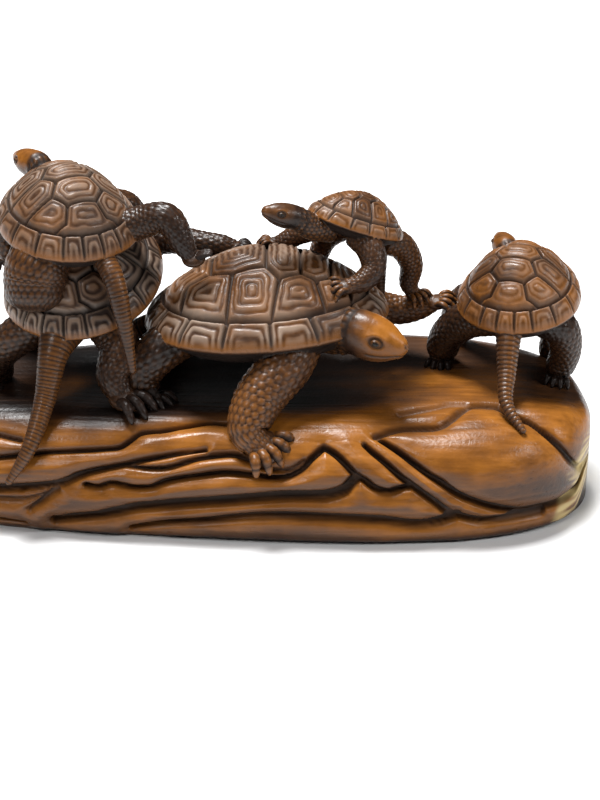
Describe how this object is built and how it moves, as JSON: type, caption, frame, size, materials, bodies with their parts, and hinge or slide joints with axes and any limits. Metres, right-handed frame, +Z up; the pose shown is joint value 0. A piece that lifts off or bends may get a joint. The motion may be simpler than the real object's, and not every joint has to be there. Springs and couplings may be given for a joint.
{
  "type": "okimono",
  "caption": "Carved boxwood okimono: turtles climb over one another along a gnarled driftwood log, one solid piece that stands on the log's flat underside.",
  "frame": {"origin": "on the underside, below the middle of the bounding box", "axes": "+X along the log towards the end where a single turtle faces away, -Y towards the side that is seen, +Z up"},
  "size_m": [0.225, 0.087, 0.1077],
  "materials": {
    "boxwood": "dark stained carved boxwood, waxed to a soft gloss, with worn amber edges and near black hollows"
  },
  "bodies": {
    "root": {"turtles_on_log": "boxwood"}
  },
  "joints": []
}
